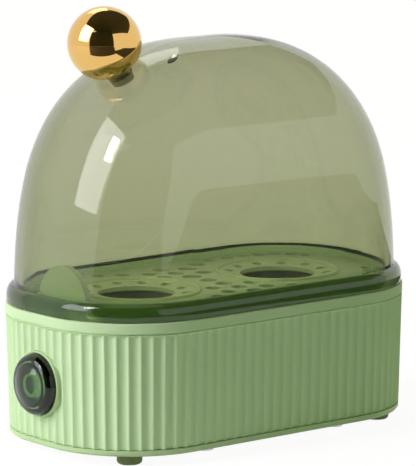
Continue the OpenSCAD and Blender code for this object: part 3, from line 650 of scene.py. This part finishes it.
def makeKnob(v):
    gold = goldPlate(v)
    r, flat, rise = v["radius"], v["flat"], v["collarHeight"]
    middle = rise + r - flat
    low = -math.asin((r - flat) / r)
    foot = math.sqrt(r * r - (r - flat) ** 2)
    ball = [(0, rise), (foot - v["edgeIn"], rise), (foot, rise + v["edgeUp"])]
    for i in range(1, v["ballRows"]):
        ang = low + (math.pi / 2 - low) * i / v["ballRows"]
        ball.append((r * math.cos(ang), middle + r * math.sin(ang)))
    ball.append((0, middle + r))
    finishMesh("ball_knob", turned(ball, v["ballSides"], knobPlace()), gold, "lid",
               ["lid_knob"])
    bore, edge = v["collarBore"], v["collarRadius"]
    collar = softened([(bore, 0), (edge - v["collarSlope"], 0), (edge, rise), (bore, rise)],
                      v["collarSoft"])
    finishMesh("knob_ring", turned(collar, v["collarSides"], knobPlace()), gold, "lid",
               ["knob_collar"])
    print("egg cooker: ball knob made")


buttonLook = {
    "out": -buttonLow.x, "radius": 8.7, "faceRadius": 6.4, "shoulder": 2.5, "dome": 1.6,
    "shoulderTurn": 0.92, "shoulderRows": 16,           # as a share of a quarter turn
    "faceSoft": 0.12, "domeRows": 12, "sides": 144,
    "wall": 2.2, "roof": 3.2, "roofSoft": 0.4,
    "catchTop": 56.6, "catchHeight": 1.1, "catchRadius": 9.76,          # it stops at the sleeve
    "fit": 0.06, "sleeve": 9.46, "flange": 0.9, "sleeveOut": 0.1,
    "sleeveSoft": [0.1, 0.1, 0.1, 0.1, 0.3, 0.2],
    "glass": {"tint": (0.13, 0.25, 0.10), "rough": 0.03, "wave": 0.015},
}


def makeButton(v):
    top = v["out"]
    r, face = v["radius"], v["faceRadius"]
    inner, roof = r - v["wall"], top - v["roof"]
    low = v["catchTop"] - v["catchHeight"]
    outline = [(inner, low), (v["catchRadius"], low), (v["catchRadius"], v["catchTop"]),
               (r, v["catchTop"])]
    for i in range(v["shoulderRows"] + 1):
        a = math.pi / 2 * v["shoulderTurn"] * i / v["shoulderRows"]
        outline.append((face + (r - face) * math.cos(a),
                        top - v["dome"] - v["shoulder"] * (1 - math.sin(a))))
    for i in range(1, v["domeRows"] + 1):
        along = (face + v["faceSoft"]) * (1 - i / v["domeRows"])
        outline.append((along, top - v["dome"] * (along / face) ** 2))
    outline += [(0, roof), (inner - v["roofSoft"], roof), (inner, roof - v["roofSoft"])]
    place = (Matrix.Translation((0, 0, base["buttonHeight"] * mm))
             @ Matrix.Rotation(-math.pi / 2, 4, "Y"))
    finishMesh("button_lens", turned(outline, v["sides"], place),
               clearPlastic("smokedLens", v["glass"]), "button", ["power_button"])
    # the sleeve in the wall that the button slides in, with a soft outer lip
    bore, ring = r + v["fit"], v["sleeve"]
    back, front = -guideHigh.x, base["halfLength"] + v["sleeveOut"]
    step = back + v["flange"]
    edge = (guideHigh.z - guideLow.z) / 2
    sleeve = softened([(bore, back), (edge, back), (edge, step), (ring, step), (ring, front),
                       (bore, front)], v["sleeveSoft"])
    finishMesh("button_sleeve", turned(sleeve, v["sides"], place), finish["coverPlastic"],
               "base", ["button_guide"])
    print("egg cooker: button made")


makeHousing(housingLook)
makeLid(lidLook)
makeKnob(knobLook)
makeButton(buttonLook)

studio = {
    # a window of two panes at the button's end, and a soft lamp behind
    "lamps": {
        "pane": {"spot": (-1.00, 0.30, 0.66), "size": (0.74, 0.84), "power": 9.0},
        "brightPane": {"spot": (-1.04, 0.10, 0.86), "size": (0.20, 0.30), "power": 3.6},
        "back": {"spot": (0.4, 0.9, 1.1), "size": (0.6, 0.5), "power": 1.2},
    },
    "aim": (0, 0, 0.06), "windowColour": (1.0, 0.98, 1.05),
    "ambient": 0.60, "ambientColour": (0.88, 1.10, 0.56), "seen": 1.0,
    # dark cards, in metres: one stands behind the camera, two lie on the floor before the
    # object and to its right as the camera sees it, one hangs overhead
    "cards": {
        "colour": 0.045, "patch": 5, "rough": 0.8, "glow": 1.0,
        "azimuth": -47.0, "away": 1.75, "width": 2.7, "height": 1.7, "lift": 0.01,
        "clothFrom": 0.20, "clothLift": 0.002,
        "mat": {"spot": (0.365, -0.05, 0.003), "size": (0.47, 0.60)},
        "ceiling": {"spot": (0.5, -0.7, 1.7), "size": (4.4, 3.4)},
    },
    "floor": {"size": 8.0, "colour": 0.86, "drift": 0.02, "patch": 8, "rough": 0.6,
              "shine": 0.2, "seen": 0.87, "glow": 1.08},
}


def areaLight(name, v, aim, colour):
    data = bpy.data.lights.new(name, "AREA")
    data.shape = "RECTANGLE"
    data.size, data.size_y = v["size"]
    data.energy = v["power"]
    data.color = colour
    lamp = bpy.data.objects.new(name, data)
    lamp.location = v["spot"]
    toAim = Vector(aim) - Vector(v["spot"])
    lamp.rotation_euler = toAim.to_track_quat("-Z", "Y").to_euler()
    scene.collection.objects.link(lamp)


def anyRay(tree, links, kinds):
    # 1 for rays of these kinds and 0 for all others
    path = tree.new("ShaderNodeLightPath")
    total = path.outputs[kinds[0]]
    for kind in kinds[1:]:
        more = tree.new("ShaderNodeMath")
        more.operation = "MAXIMUM"
        links.new(total, more.inputs[0])
        links.new(path.outputs[kind], more.inputs[1])
        total = more.outputs["Value"]
    return total


# what the camera sees, itself or through a clear piece, and what shiny pieces mirror
seenThrough = ["Is Camera Ray", "Is Transmission Ray"]
seenOrMirrored = ["Is Camera Ray", "Is Glossy Ray", "Is Transmission Ray"]


def makeWorld(v):
    world = bpy.data.worlds.new("studio")
    scene.world = world
    world.use_nodes = True
    tree, links = world.node_tree.nodes, world.node_tree.links
    tree.clear()
    out = tree.new("ShaderNodeOutputWorld")
    ambient = tree.new("ShaderNodeBackground")
    ambient.inputs["Strength"].default_value = v["ambient"]
    ambient.inputs["Color"].default_value = (*v["ambientColour"], 1)
    white = tree.new("ShaderNodeBackground")
    white.inputs["Strength"].default_value = v["seen"]
    white.inputs["Color"].default_value = (1, 1, 1, 1)
    mix = tree.new("ShaderNodeMixShader")
    links.new(anyRay(tree, links, seenOrMirrored), mix.inputs["Fac"])
    links.new(ambient.outputs["Background"], mix.inputs[1])
    links.new(white.outputs["Background"], mix.inputs[2])
    links.new(mix.outputs["Shader"], out.inputs["Surface"])


def plane(name, place, size, mat, farWidth=None):
    # a flat piece of the studio; the edge at its own -Y may be wider than the other
    bm = bmesh.new()
    x, y = size[0] / 2, size[1] / 2
    farX = (farWidth or size[0]) / 2
    bm.faces.new([bm.verts.new(place @ Vector(p)) for p in
                  ((-x, y, 0), (-farX, -y, 0), (farX, -y, 0), (x, y, 0))])
    mesh = bpy.data.meshes.new(name)
    bm.to_mesh(mesh)
    bm.free()
    obj = bpy.data.objects.new(name, mesh)
    scene.collection.objects.link(obj)
    dress(obj, mat)


def addGlow(mat, share, strength):
    # mixes a white glow into the material
    tree, links = mat.node_tree.nodes, mat.node_tree.links
    glow = node(mat, "ShaderNodeEmission")
    glow.inputs["Strength"].default_value = strength
    mix = node(mat, "ShaderNodeMixShader")
    links.new(share, mix.inputs["Fac"])
    links.new(tree["Principled BSDF"].outputs["BSDF"], mix.inputs[1])
    links.new(glow.outputs["Emission"], mix.inputs[2])
    links.new(mix.outputs["Shader"], tree["Material Output"].inputs["Surface"])


def makeFloor(v):
    mat, tree, links = newMaterial("paleFloor")
    shader = tree["Principled BSDF"]
    c = v["colour"]
    links.new(between(mat, noise(mat, v["patch"], 2), (c,) * 3, (c + v["drift"],) * 3),
              shader.inputs["Base Color"])
    shader.inputs["Roughness"].default_value = v["rough"]
    shader.inputs["Specular IOR Level"].default_value = v["shine"]
    share = node(mat, "ShaderNodeMath", operation="MULTIPLY")
    share.inputs[1].default_value = v["seen"]
    links.new(anyRay(tree, links, seenOrMirrored), share.inputs[0])
    addGlow(mat, share.outputs["Value"], v["glow"])
    plane("floor", Matrix.Identity(4), (v["size"], v["size"]), mat)


def makeCards(v):
    # the ball, the lid and the button reflect these cards, which otherwise look white
    mat, tree, links = newMaterial("darkCard")
    shader = tree["Principled BSDF"]
    c = v["colour"]
    links.new(between(mat, noise(mat, v["patch"], 2), (c, c * 0.95, c * 0.8),
                      (c * 1.4, c * 1.3, c)), shader.inputs["Base Color"])
    shader.inputs["Roughness"].default_value = v["rough"]
    addGlow(mat, anyRay(tree, links, seenThrough), v["glow"])

    az = math.radians(v["azimuth"])
    away = Vector((math.sin(az), -math.cos(az), 0))
    turn = Matrix.Rotation(az, 4, "Z")
    upright = turn @ Matrix.Rotation(math.pi / 2, 4, "X")
    middle = away * v["away"] + Vector((0, 0, v["height"] / 2 + v["lift"]))
    plane("dark_card", Matrix.Translation(middle) @ upright, (v["width"], v["height"]), mat)

    depth = v["away"] - v["clothFrom"]
    middle = away * (v["clothFrom"] + depth / 2) + Vector((0, 0, v["clothLift"]))
    near = v["width"] * v["clothFrom"] / v["away"]
    plane("dark_cloth", Matrix.Translation(middle) @ turn, (near, depth), mat, v["width"])

    across = Matrix.Rotation(math.radians(view["azimuth"]), 4, "Z")
    low, ceiling = v["mat"], v["ceiling"]
    plane("dark_mat", across @ Matrix.Translation(low["spot"]), low["size"], mat)
    plane("dark_ceiling", Matrix.Translation(ceiling["spot"]), ceiling["size"], mat)


def makeStudio(v):
    for name, lamp in v["lamps"].items():
        areaLight(name, lamp, v["aim"], v["windowColour"])
    makeWorld(v)
    makeFloor(v["floor"])
    makeCards(v["cards"])


makeStudio(studio)
print("egg cooker: studio made")
